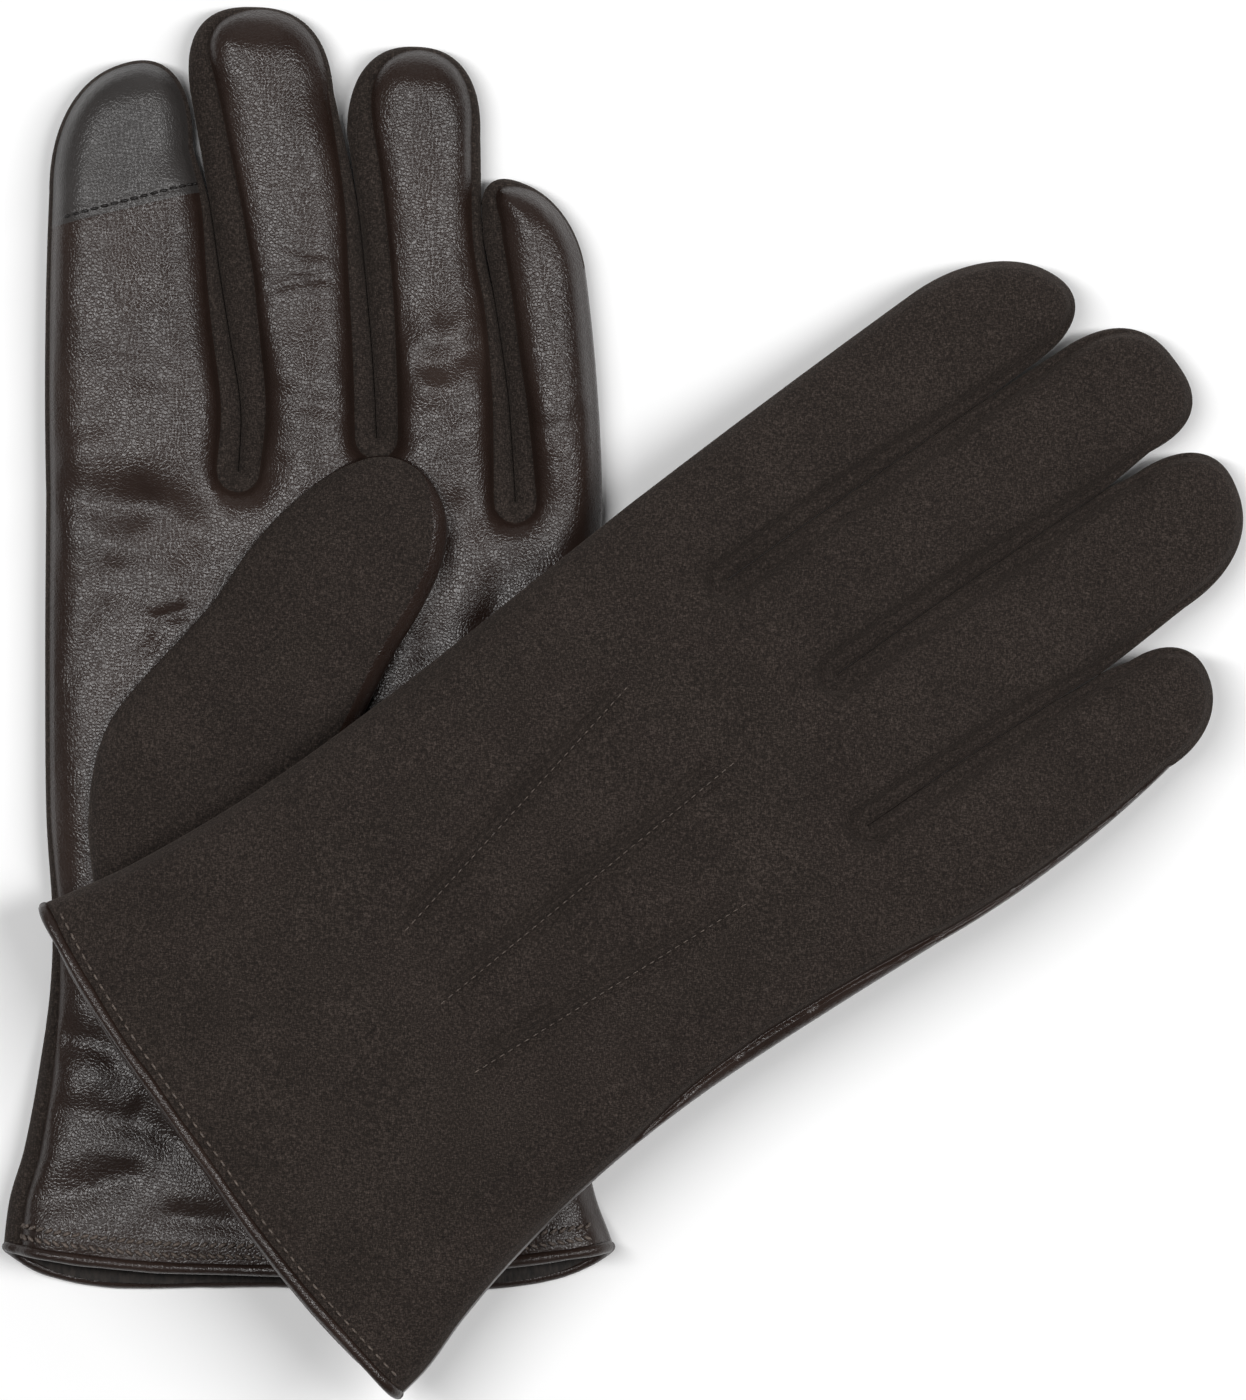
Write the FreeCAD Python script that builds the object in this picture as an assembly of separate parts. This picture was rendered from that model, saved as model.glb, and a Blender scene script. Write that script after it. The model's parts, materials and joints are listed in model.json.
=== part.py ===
"""A pair of men's gloves: leather palms, wool backs, grey touchscreen tips on the index fingers.

The left glove lies palm up on the table, its thumb folded over the palm. The right glove lies across it, back up,
with its own thumb folded underneath and its fingers sloping down to the table.

Each glove is built in a bench frame: x runs across the hand with the index finger on the -x side, y runs from the
cuff mouth to the fingertips, and z runs from the back of the hand (0) to the palm (HAND_DEPTH). All sizes are mm.
"""
import FreeCAD, Part
import math
import os
from collections import namedtuple

Vector = FreeCAD.Vector
ORIGIN = Vector(0, 0, 0)
Z_AXIS = Vector(0, 0, 1)

# Thickness of the materials, and the space between pieces and between bodies
LEATHER = 0.9
WOOL = 1.5
LINING = 1.0
SEAM_GAP = 0.2
JOINT_GAP = 0.6

# Cross-section of the hand and of the thumb
HAND_DEPTH = 11.5
THUMB_DEPTH = 10.0
EDGE_ROUND = 4.4
SEAM_HEIGHT = 5.0
GUSSET_LOW = 3.2
GUSSET_HIGH = 8.2
STACK_GAP = 0.5

# Cuff, seams and holes
BINDING_LENGTH = 4.0
HEM_ROWS = (6.6, 9.4)
BACK_HEM_ROW = 6.2
STITCH_WIDTH = 0.5
GROOVE_WIDTH = 0.8
GROOVE_DEPTH = 0.6
THUMB_HOLE_RADIUS = 9.0
FINGER_TAIL = 26.0
BEYOND = 300.0
# The radius of a fingertip's corners as a share of its width, and where its gussets end, short of the tip
CORNER_SHARE = 0.44
GUSSET_END_SHARE = 0.3
# Where the crotch gussets and the finger gussets begin, measured from the base of a finger
CROTCH_GUSSET_START = -0.5
FINGER_GUSSET_START = -20.0
GUSSET_OVERREACH = 0.1
KNUCKLE_HALF_WIDTH = 60.0
THREAD_SINK = 0.1

Finger = namedtuple("Finger", "name base tip base_width tip_width hinge gusset_sides")
Glove = namedtuple("Glove", "side fingers index_edge little_edge crotches palm_middle rest_curl")

# base and tip are points on the finger's middle line, at its crotch and at its end. hinge is the distance from the
# base to the knuckle line. Gusset sides are the ones that face a neighbour: -1 towards the index finger, +1 away.
LEFT = Glove(
    side="left",
    fingers=(
        Finger("index", (-31.2, 151.0), (-34.6, 233.8), 36.0, 25.0, 9.5, (1,)),
        Finger("middle", (1.2, 154.0), (-9.6, 245.0), 26.4, 25.0, 15.0, (-1, 1)),
        Finger("ring", (27.5, 155.0), (19.7, 237.3), 25.2, 22.6, 14.0, (-1, 1)),
        Finger("little", (50.8, 145.0), (43.0, 210.5), 17.6, 16.4, 9.0, (-1,)),
    ),
    index_edge=((-60.5, -10), (-58.6, 2), (-55.6, 20), (-49.4, 52), (-48.8, 85), (-50.2, 115), (-48.4, 152)),
    little_edge=((61.5, -10), (59.4, 2), (54.4, 25), (50.2, 60), (55.2, 105), (58.6, 148)),
    crotches=((-13.6, 151.0), (13.7, 158.5), (40.8, 145.5)),
    palm_middle=3.2,
    rest_curl=0.0,
)
RIGHT = Glove(
    side="right",
    fingers=(
        Finger("index", (-44.2, 143.0), (-44.2, 231.5), 24.4, 24.0, 9.0, (1,)),
        Finger("middle", (-18.2, 147.0), (-16.8, 241.0), 25.6, 24.4, 11.0, (-1, 1)),
        Finger("ring", (9.0, 145.0), (10.4, 234.5), 25.6, 24.4, 12.0, (-1, 1)),
        Finger("little", (36.2, 138.0), (37.2, 210.0), 25.0, 19.4, 9.0, (-1,)),
    ),
    index_edge=((-60.2, -10), (-57.8, 4), (-54.2, 32), (-52.4, 64), (-53.4, 100), (-55.6, 144)),
    little_edge=((61.5, -10), (58.4, 4), (52.2, 30), (46.6, 62), (46.2, 92), (47.8, 139)),
    crotches=((-32.0, 141.5), (-4.6, 148.0), (22.8, 137.5)),
    palm_middle=-3.4,
    rest_curl=15.0,
)
THUMB = Finger("thumb", (-22.5, 88.0), (21.5, 157.0), 41.0, 33.0, 8.0, ())
THUMB_TAIL = 18.0
THUMB_HOLE_BACK = 5.0
TOUCH_TIP_LENGTH = 27.5
TOUCH_SEAM_SLANT = 8.0
TOUCH_STITCH_OFFSET = 2.0

# The three raised lines on the back of the hand, measured from the middle of the palm
POINTS = (
    ((-24.6, 118.0), (-11.6, 55.0)),
    ((-0.6, 126.0), (3.9, 52.0)),
    ((22.9, 112.0), (18.4, 50.0)),
)

# Where the middle of each cuff mouth lies on the table, and how far the right glove is turned
LEFT_CUFF = (-62.2, -110.0)
RIGHT_CUFF = (-78.4, -88.5)
RIGHT_TURN = -54.0

THUMB_FLOOR = HAND_DEPTH + STACK_GAP
RIGHT_BOTTOM = THUMB_FLOOR + THUMB_DEPTH + STACK_GAP
RIGHT_TOP = RIGHT_BOTTOM + HAND_DEPTH


def block(x, y, z):
    """A box given by its (low, high) along each axis."""
    return Part.makeBox(x[1] - x[0], y[1] - y[0], z[1] - z[0], Vector(x[0], y[0], z[0]))


def layer(step, depth, low_wall, high_wall):
    """Inset, bottom and top of a layer: 0 outside, 1 inside of the shell, 2 outside of the lining, 3 inside of it."""
    extra = (0, 0, SEAM_GAP, SEAM_GAP + LINING)[step]
    walls = 1 if step else 0
    return WOOL * walls + extra, low_wall * walls + extra, depth - high_wall * walls - extra


def rounded(solid, inset, curves=None):
    """The solid with its level edges rounded, or only those whose curve is of the given type."""
    level = [e for e in solid.Edges if e.BoundBox.ZLength < 0.001]
    if curves:
        level = [e for e in level if isinstance(e.Curve, curves)]
    return solid.makeFillet(EDGE_ROUND - inset, level)


def finger_length(finger):
    return math.dist(finger.base, finger.tip)


def finger_turn(finger):
    """Degrees from +y to the finger's own direction, anticlockwise."""
    across = finger.tip[0] - finger.base[0]
    along = finger.tip[1] - finger.base[1]
    return math.degrees(math.atan2(-across, along))


def to_bench(shape, finger):
    """Carries a shape from the finger's own frame, base at the origin and tip along +y, to the bench frame."""
    placed = shape.copy()
    placed.rotate(ORIGIN, Z_AXIS, finger_turn(finger))
    placed.translate(Vector(finger.base[0], finger.base[1], 0))
    return placed


def tongue(finger, step, tail, depth=HAND_DEPTH, walls=(WOOL, LEATHER)):
    """One layer of a finger in its own frame: a tapered tongue with round corners, tail mm longer than its base."""
    inset, low, high = layer(step, depth, *walls)
    corner = CORNER_SHARE * finger.tip_width
    base = finger.base_width / 2 - corner
    tip = finger.tip_width / 2 - corner
    end = finger_length(finger) - corner
    start = corner - tail
    corners = [Vector(-base, start, low), Vector(-tip, end, low), Vector(tip, end, low), Vector(base, start, low)]
    core = Part.makePolygon(corners + corners[:1])
    outline = core.makeOffset2D(corner - inset)
    return rounded(Part.Face(outline).extrude(Vector(0, 0, high - low)), inset)


def slab(glove, step):
    """One layer of the hand without its fingers, running on past the cuff mouth."""
    inset, low, high = layer(step, HAND_DEPTH, WOOL, LEATHER)
    index_edge = [Vector(x + inset, y, low) for x, y in glove.index_edge]
    little_edge = [Vector(x - inset, y, low) for x, y in glove.little_edge]
    far = [Vector(x, y - inset, low) for x, y in glove.crotches]
    sides = []
    for points in (index_edge, little_edge):
        curve = Part.BSplineCurve()
        curve.interpolate(points)
        sides.append(curve.toShape())
    ends = Part.makePolygon([index_edge[-1], *far, little_edge[-1]]).Edges
    mouth = Part.makeLine(little_edge[0], index_edge[0])
    outline = Part.Wire(Part.__sortEdges__(sides + ends + [mouth]))
    return rounded(Part.Face(outline).extrude(Vector(0, 0, high - low)), inset, Part.BSplineCurve)


def knuckle_box(finger, height, tilt, gap):
    """Everything past the knuckle line, in the finger's own frame, leaning by tilt about the line at that height."""
    box = block((-KNUCKLE_HALF_WIDTH, KNUCKLE_HALF_WIDTH), (finger.hinge + gap, BEYOND), (-BEYOND, BEYOND))
    box.rotate(Vector(0, finger.hinge, height), Vector(1, 0, 0), tilt)
    return box


def curled(shape, finger, angle):
    """A finger's shape, in its own frame, bent towards the palm about the knuckle line."""
    bent = shape.copy()
    bent.rotate(Vector(0, finger.hinge, HAND_DEPTH), Vector(1, 0, 0), angle)
    return bent


def gusset_boxes(finger, grow, start):
    """The bands along the sides of a finger that its gussets fill, grown by the seam gap where others are cut."""
    stop = finger_length(finger) - GUSSET_END_SHARE * finger.tip_width
    band = (GUSSET_LOW - grow, GUSSET_HIGH + grow)
    near = finger.tip_width / 4
    far = finger.base_width / 2 + GUSSET_OVERREACH
    reach = {1: (near, far), -1: (-far, -near)}
    return [block(reach[side], (start, stop + grow), band) for side in finger.gusset_sides]


def above(height):
    return block((-BEYOND, BEYOND), (-BEYOND, BEYOND), (height, BEYOND))


def below(height):
    return block((-BEYOND, BEYOND), (-BEYOND, BEYOND), (-BEYOND, height))


def split_shell(shell, gussets, grown_gussets):
    """Leather side, wool side and gussets of a shell, parted at the side seam."""
    gap = SEAM_GAP / 2
    leather = shell.common(above(SEAM_HEIGHT + gap))
    wool = shell.common(below(SEAM_HEIGHT - gap))
    if not gussets:
        return leather, wool, None
    return leather.cut(grown_gussets), wool.cut(grown_gussets), shell.common(gussets)


def stitch_row(start, end, surface, inwards):
    """A straight row of stitching sunk in a flat face: the groove to cut, and the thread to lay in it."""
    length = math.dist(start, end)
    turn = math.degrees(math.atan2(end[1] - start[1], end[0] - start[0]))
    slack = (GROOVE_WIDTH - STITCH_WIDTH) / 2
    levels = sorted((surface - inwards, surface + inwards * GROOVE_DEPTH))
    thread_levels = sorted((surface + inwards * THREAD_SINK, surface + inwards * STITCH_WIDTH))
    groove = block((0, length), (-GROOVE_WIDTH / 2, GROOVE_WIDTH / 2), levels)
    thread = block((slack, length - slack), (-STITCH_WIDTH / 2, STITCH_WIDTH / 2), thread_levels)
    for solid in (groove, thread):
        solid.rotate(ORIGIN, Z_AXIS, turn)
        solid.translate(Vector(start[0], start[1], 0))
    return groove, thread


def hem_rows(glove):
    """Grooves on the palm, grooves on the back, and the threads of the cuff's hem."""
    first = glove.index_edge[1][0] + EDGE_ROUND + 1
    last = glove.little_edge[1][0] - EDGE_ROUND - 1
    palm = [stitch_row((first, y), (last, y), HAND_DEPTH, -1) for y in HEM_ROWS]
    back = [stitch_row((first, BACK_HEM_ROW), (last, BACK_HEM_ROW), 0, 1)]
    return [row[0] for row in palm], [row[0] for row in back], [row[1] for row in palm + back]


def point_rows(glove):
    """Grooves and threads of the three lines on the back of the hand."""
    shift = glove.palm_middle
    ends = [((a[0] + shift, a[1]), (b[0] + shift, b[1])) for a, b in POINTS]
    rows = [stitch_row(start, end, 0, 1) for start, end in ends]
    return [row[0] for row in rows], [row[1] for row in rows]


def fused(shapes):
    return shapes[0].multiFuse(shapes[1:]).removeSplitter()


def palm_layer(glove, step):
    """One layer of the hand with the stubs of its four fingers. Inner layers run on through the knuckle lines."""
    pieces = [slab(glove, step)]
    for finger in glove.fingers:
        stub = tongue(finger, step, FINGER_TAIL)
        if step in (0, 2):
            stub = stub.cut(knuckle_box(finger, HAND_DEPTH, glove.rest_curl / 2, -JOINT_GAP / 2))
        pieces.append(to_bench(stub, finger))
    return fused(pieces)


def thumb_hole():
    """The hole that joins the inside of the thumb to the inside of the palm."""
    hole = Part.makeCylinder(THUMB_HOLE_RADIUS, 2 * HAND_DEPTH, Vector(0, -THUMB_HOLE_BACK, HAND_DEPTH / 2))
    upper = hole.common(above(HAND_DEPTH - LEATHER - LINING - 3 * SEAM_GAP))
    return to_bench(upper.common(below(THUMB_FLOOR + LEATHER + LINING + 3 * SEAM_GAP)), THUMB)


def thumb_layer(step):
    """One layer of the whole thumb in its own frame, lying over the palm with its leather side down."""
    inner = tongue(THUMB, step, THUMB_TAIL, THUMB_DEPTH, (LEATHER, WOOL))
    inner.translate(Vector(0, 0, THUMB_FLOOR))
    return inner


def thumb_parts():
    """The thumb's root and lining, fixed to the palm, and the moving shell and lining past its joint."""
    top = THUMB_FLOOR + THUMB_DEPTH
    past = knuckle_box(THUMB, top, 0, JOINT_GAP / 2)
    root_past = knuckle_box(THUMB, top, 0, -JOINT_GAP / 2)
    shell = thumb_layer(0).cut(thumb_layer(1))
    lining = thumb_layer(2).cut(thumb_layer(3))
    hole = thumb_hole()
    root = to_bench(shell.cut(root_past), THUMB).cut(hole)
    root_lining = to_bench(lining.cut(root_past), THUMB).cut(hole)
    return root, root_lining, to_bench(shell.common(past), THUMB), to_bench(lining.common(past), THUMB)


def thumb_nodes():
    """The root and root lining, and the nodes of the moving thumb: leather inside, wool outside."""
    root, root_lining, shell, lining = thumb_parts()
    seam = THUMB_FLOOR + THUMB_DEPTH / 2
    nodes = {
        "thumb_wool": shell.common(above(seam + SEAM_GAP / 2)),
        "thumb_leather": shell.common(below(seam - SEAM_GAP / 2)),
        "thumb_lining": lining,
    }
    return root, root_lining, nodes


def palm_nodes(glove, root, root_lining):
    """Palm, back, crotch gussets, lining, cuff binding, stitching and thumb root of one glove."""
    outer, inner, lining_outer, lining_inner = [palm_layer(glove, step) for step in range(4)]
    past_binding = block((-BEYOND, BEYOND), (BINDING_LENGTH + SEAM_GAP, BEYOND), (-BEYOND, BEYOND))
    binding = block((-BEYOND, BEYOND), (0, BINDING_LENGTH), (-BEYOND, BEYOND))
    gussets = []
    grown = []
    for finger in glove.fingers:
        boxes = gusset_boxes(finger, 0, CROTCH_GUSSET_START)
        grown_boxes = gusset_boxes(finger, SEAM_GAP, CROTCH_GUSSET_START - SEAM_GAP)
        gussets += [to_bench(box, finger) for box in boxes]
        grown += [to_bench(box, finger) for box in grown_boxes]
    shell = outer.cut(inner).common(past_binding)
    leather, wool, crotch = split_shell(shell, gussets, grown)
    palm_grooves, back_grooves, hem_threads = hem_rows(glove)
    point_grooves, point_threads = point_rows(glove)
    hole = thumb_hole()
    lining = lining_outer.cut(lining_inner).common(past_binding).cut(hole)
    return {
        "palm_leather": leather.cut([hole] + palm_grooves),
        "back_wool": wool.cut(back_grooves + point_grooves),
        "crotch_gussets": crotch,
        "palm_lining": Part.makeCompound(lining.Solids + root_lining.Solids),
        "cuff_binding": outer.cut(lining_inner).common(binding),
        "hem_stitching": Part.makeCompound(hem_threads),
        "point_stitching": Part.makeCompound(point_threads),
        "thumb_root_wool": root,
    }


def touch_tip_cut(finger):
    """The slanted plane where the touchscreen tip is sewn on, as a box past it, in the finger's own frame."""
    seam = finger_length(finger) - TOUCH_TIP_LENGTH
    box = block((-KNUCKLE_HALF_WIDTH, KNUCKLE_HALF_WIDTH), (seam, BEYOND), (SEAM_HEIGHT - BEYOND, BEYOND))
    box.rotate(Vector(0, seam, 0), Z_AXIS, TOUCH_SEAM_SLANT)
    return box


def touch_tip(finger, leather):
    """The index finger's leather and its grey tip, with the row of stitching beside the seam between them."""
    past = touch_tip_cut(finger)
    inside = past.copy()
    inside.translate(Vector(0, SEAM_GAP, 0))
    half = finger.tip_width / 2 - EDGE_ROUND
    row = finger_length(finger) - TOUCH_TIP_LENGTH + TOUCH_STITCH_OFFSET
    rise = half * math.tan(math.radians(TOUCH_SEAM_SLANT))
    groove, thread = stitch_row((-half, row - rise), (half, row + rise), HAND_DEPTH, -1)
    return leather.cut(past), leather.common(inside).cut(groove), thread


def finger_nodes(glove, finger):
    """Leather, wool, gusset and lining of one finger past its knuckle line, and the touch tip of an index finger."""
    half_curl = glove.rest_curl / 2
    past = knuckle_box(finger, HAND_DEPTH, -half_curl, JOINT_GAP / 2)
    layers = [tongue(finger, step, FINGER_TAIL) for step in range(4)]
    shell = layers[0].cut(layers[1]).common(past)
    gussets, grown = [gusset_boxes(finger, grow, FINGER_GUSSET_START) for grow in (0, SEAM_GAP)]
    leather, wool, gusset = split_shell(shell, gussets, grown)
    word = "gussets" if len(finger.gusset_sides) > 1 else "gusset"
    parts = {"wool": wool, word: gusset, "lining": layers[2].cut(layers[3]).common(past)}
    if finger.name == "index":
        parts["leather"], parts["touch_tip"], parts["touch_stitching"] = touch_tip(finger, leather)
    else:
        parts["leather"] = leather
    return {
        f"{finger.name}_{part}": to_bench(curled(shape, finger, glove.rest_curl), finger)
        for part, shape in parts.items()
    }


def glove_nodes(glove):
    root, root_lining, nodes = thumb_nodes()
    nodes.update(palm_nodes(glove, root, root_lining))
    for finger in glove.fingers:
        nodes.update(finger_nodes(glove, finger))
    return nodes


def lay_left(shape):
    """The left glove lies as it is built, palm up."""
    laid = shape.copy()
    laid.translate(Vector(LEFT_CUFF[0], LEFT_CUFF[1], 0))
    return laid


def lay_right(shape):
    """The right glove is the mirror image, palm down, turned and raised onto the left one."""
    laid = shape.mirror(ORIGIN, Z_AXIS)
    laid.rotate(ORIGIN, Z_AXIS, RIGHT_TURN)
    laid.translate(Vector(RIGHT_CUFF[0], RIGHT_CUFF[1], RIGHT_TOP))
    return laid


def pair_nodes():
    """Every node of the pair, centred on the table under the middle of its footprint."""
    nodes = {}
    for glove, lay in ((LEFT, lay_left), (RIGHT, lay_right)):
        for name, shape in glove_nodes(glove).items():
            nodes[f"{glove.side}_{name}"] = lay(shape)
    bounds = FreeCAD.BoundBox()
    for shape in nodes.values():
        bounds.add(shape.optimalBoundingBox(False, False))
    middle = Vector(-bounds.Center.x, -bounds.Center.y, 0)
    for shape in nodes.values():
        shape.translate(middle)
    return nodes, middle


NODES, MIDDLE = pair_nodes()
os.makedirs("parts", exist_ok=True)
for node_name, node_shape in NODES.items():
    node_shape.exportStep(f"parts/{node_name}.step")
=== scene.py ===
"""A pair of men's touchscreen gloves: the left one palm up, the right one lying across it, back up.

Each glove is drawn flat on its bench: x across the hand with the index finger on the -x side, y from the
cuff to the fingertips, in millimetres. It is cut into leather and wool panels along the seams, and raised
into a palm sheet and a back sheet that meet along the sides. The bench is then carried to the place the
CAD frame gives.
"""
import bpy
import json
import math
import numpy as np
from collections import namedtuple
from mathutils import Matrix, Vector
from mathutils.geometry import delaunay_2d_cdt
from mathutils.kdtree import KDTree


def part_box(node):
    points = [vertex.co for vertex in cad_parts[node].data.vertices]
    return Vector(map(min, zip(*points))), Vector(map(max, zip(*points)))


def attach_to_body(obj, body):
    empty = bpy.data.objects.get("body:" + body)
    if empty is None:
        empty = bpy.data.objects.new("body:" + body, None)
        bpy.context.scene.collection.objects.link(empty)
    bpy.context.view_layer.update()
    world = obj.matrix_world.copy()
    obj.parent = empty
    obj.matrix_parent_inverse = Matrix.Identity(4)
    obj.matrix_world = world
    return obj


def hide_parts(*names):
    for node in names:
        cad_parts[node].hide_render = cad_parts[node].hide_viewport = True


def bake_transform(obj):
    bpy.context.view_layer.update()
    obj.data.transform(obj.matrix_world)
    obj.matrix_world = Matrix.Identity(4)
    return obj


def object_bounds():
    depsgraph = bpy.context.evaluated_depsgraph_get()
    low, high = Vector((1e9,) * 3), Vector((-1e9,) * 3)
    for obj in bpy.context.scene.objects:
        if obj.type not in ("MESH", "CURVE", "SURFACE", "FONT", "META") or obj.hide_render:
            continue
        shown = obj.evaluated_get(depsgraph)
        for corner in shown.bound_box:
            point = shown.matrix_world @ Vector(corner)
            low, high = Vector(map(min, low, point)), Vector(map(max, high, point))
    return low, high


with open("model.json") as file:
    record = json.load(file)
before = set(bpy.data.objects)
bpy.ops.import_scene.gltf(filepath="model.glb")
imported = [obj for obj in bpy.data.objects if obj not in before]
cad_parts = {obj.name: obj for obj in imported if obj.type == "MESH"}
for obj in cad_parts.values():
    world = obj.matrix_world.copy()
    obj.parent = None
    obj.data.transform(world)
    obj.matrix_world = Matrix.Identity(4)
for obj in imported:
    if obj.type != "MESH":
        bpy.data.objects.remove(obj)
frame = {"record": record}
CAD_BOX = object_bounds()
JOINTS = {joint["name"]: joint for joint in frame["record"]["behaviour"]["joints"]}

# ---------------------------------------------------------------- driving values, in millimetres
MM = 0.001
RIGHT_TURN = math.radians(-54)
LEATHER = 0.9
WOOL = 1.3
LINING = 0.7
LINING_GAP = 0.35
FINE_STEP = 0.85
COARSE_STEP = 1.4
LINING_STEP = 3.0
LAYERS = (0.15, 0.5, 1.1, 1.9)
CURVE_STEP = 0.7
SLOT = 0.04
WELT = 0.22
BEND_BEFORE = 4.0
BEND_AFTER = 8.0
EDGE_RADIUS = 8.5
PANEL_RADIUS = 9.0
BINDING_RADIUS = 1.15
FACING_DEPTH = 13.0
CUFF_SAMPLES = 50

Finger = namedtuple("Finger", "name left_shoulder tip right_shoulder bow_left bow_right cap")
Glove = namedtuple("Glove", "side index_edge little_edge fingers slots palm_cuff back_cuff cuff_corner")

# Shoulders are where a finger's straight sides end and its cap begins. A bow is how far a side bulges out.
# cap is the power of the tip's rounding: 2 is an ellipse, more is squarer. A cuff's edge is given by its y
# in the middle and the power with which it rises to the corner, which both sheets share.
LEFT = Glove(
    side="left",
    index_edge=((-60.6, -9), (-59.6, 2), (-58.3, 12), (-55.4, 22), (-52.6, 37), (-50.4, 53), (-50.0, 68),
                (-51.2, 88), (-51.4, 120), (-51.2, 150)),
    little_edge=((61.4, -9), (60.2, 2), (56.4, 13), (53.0, 30), (50.4, 58), (52.8, 90), (56.6, 125),
                 (58.0, 147)),
    fingers=(
        Finger("index", (-50.6, 209), (-36.4, 234.4), (-22.4, 218), 0.5, 0, 2.3),
        Finger("middle", (-23.0, 229.5), (-10.6, 245.6), (5.2, 229), 0, 0, 2.55),
        Finger("ring", (7.8, 221), (21.4, 237.8), (34.0, 220), 0, 0, 2.4),
        Finger("little", (34.5, 202), (42.4, 211.0), (54.6, 194), 0, 0.7, 2.3),
    ),
    slots=(
        ((-13.4, 154.5), (-13.0, 167), (-15.3, 182), (-17.2, 194), (-19.1, 207)),
        ((13.7, 161.0), (13.1, 173), (12.0, 187), (9.9, 207)),
        ((40.9, 148.5), (40.2, 160), (39.3, 171), (37.0, 187), (34.6, 200)),
    ),
    palm_cuff=(-2.2, 2.2),
    back_cuff=(-5.0, 7.0),
    cuff_corner=2.6,
)
RIGHT = Glove(
    side="right",
    index_edge=((-61.4, -9), (-59.8, 0), (-58.2, 7), (-55.6, 20), (-53.4, 40), (-52.6, 60), (-52.9, 85),
                (-54.0, 110), (-55.2, 136), (-55.5, 146)),
    little_edge=((60.0, -9), (58.6, 1), (57.2, 9), (53.6, 20), (50.2, 34), (47.2, 52), (45.8, 68),
                 (45.5, 84), (46.0, 98), (47.2, 118), (48.6, 137)),
    fingers=(
        Finger("index", (-56.4, 208), (-43.6, 232.6), (-31.3, 219), 0.2, 0, 2.2),
        Finger("middle", (-30.3, 227.5), (-15.2, 242.2), (-4.0, 227.5), 0, 0, 2.6),
        Finger("ring", (-2.3, 222), (11.8, 237.2), (24.6, 215), 0, 0, 2.35),
        Finger("little", (26.6, 200), (38.2, 210.8), (47.9, 194), 0, 1.8, 2.2),
    ),
    slots=(
        ((-32.3, 145.5), (-32.2, 165), (-31.7, 190), (-31.3, 207)),
        ((-5.0, 152.0), (-4.7, 175), (-3.8, 200), (-3.3, 215)),
        ((22.2, 139.5), (22.8, 160), (23.9, 180), (25.2, 194)),
    ),
    palm_cuff=(-3.5, 3.2),
    back_cuff=(-2.6, 2.3),
    cuff_corner=0.8,
)
THUMB_ROOT = (-22.5, 88.0)
THUMB_TIP = (20.8, 157.5)

# How far each panel's seam lies inside the outline. Fingers: at the crotch, mid side, shoulder, tip,
# shoulder, mid side, crotch. Edges: distance from the cuff, inset.
PALM_SEAMS = {
    "index": (1.0, 1.0, 0.9, 0.7, 0.8, 3.0, 4.2),
    "middle": (4.2, 6.6, 5.4, 0.5, 1.0, 3.2, 4.2),
    "ring": (4.2, 5.2, 5.4, 0.7, 1.7, 2.2, 4.2),
    "little": (4.2, 3.2, 3.8, 0.5, 0.3, 0.3, 0.3),
    "index_edge": ((0, 3.6), (35, 3.0), (60, 1.6), (85, 1.0), (150, 1.0)),
    "little_edge": ((0, 0.3), (150, 0.3)),
}
BACK_SEAMS = {
    "index": (0.0, 0.0, 0.0, 0.0, 1.6, 3.2, 3.4),
    "middle": (3.4, 3.4, 1.6, 0.0, 1.2, 3.0, 3.4),
    "ring": (3.4, 3.2, 1.4, 0.0, 1.2, 2.8, 3.2),
    "little": (3.2, 3.0, 1.4, 0.4, 0.8, 1.2, 1.6),
    "index_edge": ((0, 0.0), (150, 0.0)),
    "little_edge": ((0, 0.3), (64, 0.5), (82, 2.6), (100, 3.4), (120, 2.8), (140, 1.8), (150, 1.6)),
}
SMALLEST_INSET = 0.25

# Creases pressed into the leather and into the wool: start, end, depth, width
LEATHER_CREASES = (
    ((-53, 29), (-30, 27), 1.0, 3.0), ((-56, 10), (-30, 18), 1.1, 3.4), ((-34, 32), (-24, 21), 0.8, 2.8),
    ((-51, 45), (-35, 40), 0.9, 2.6), ((-50, 57), (-37, 61), 0.5, 2.6), ((-30, 9), (-8, 6), 0.6, 2.4),
    ((-25, 30), (25, 24), 0.9, 3.2), ((0, 42), (40, 38), 0.8, 3.4), ((20, 13), (54, 18), 0.9, 2.4),
    ((-51, 151), (-28, 147), 1.2, 4.5), ((-38, 150), (-17, 141), 1.0, 4.5),
    ((-50, 160), (-38, 165), 0.3, 2.4), ((-31, 124.5), (-22, 128), 0.7, 1.3),
    ((-31.5, 117.5), (-27.5, 124), 0.7, 1.2), ((-12, 147), (-4, 158), 0.6, 2.6),
    ((-42, 134), (-22, 139), 0.45, 3.0), ((-48, 112), (-36, 130), 0.5, 2.8),
    ((-9, 190), (6, 192.5), 0.4, 1.1), ((-6, 199), (6, 197), 0.25, 1.0), ((-10, 170), (10, 166), 0.45, 2.0),
    ((-7, 226), (-3, 176), 0.4, 3.0), ((20, 174), (37, 180), 0.8, 2.4), ((17, 186), (30, 169), 0.5, 2.2),
    ((20, 163), (37, 168), 0.45, 2.0), ((30, 152), (23, 114), 1.2, 3.0), ((43, 142), (32, 120), 0.7, 3.0),
    ((-46, 190), (-24, 188), 0.22, 2.2), ((-47, 176), (-22, 172), 0.35, 2.6),
    ((42, 162), (56, 165), 0.4, 2.0), ((-34, 226), (-31, 165), 0.35, 3.4),
    ((24, 228), (26, 186), 0.35, 3.0), ((45, 203), (48, 165), 0.3, 2.6),
)
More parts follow.
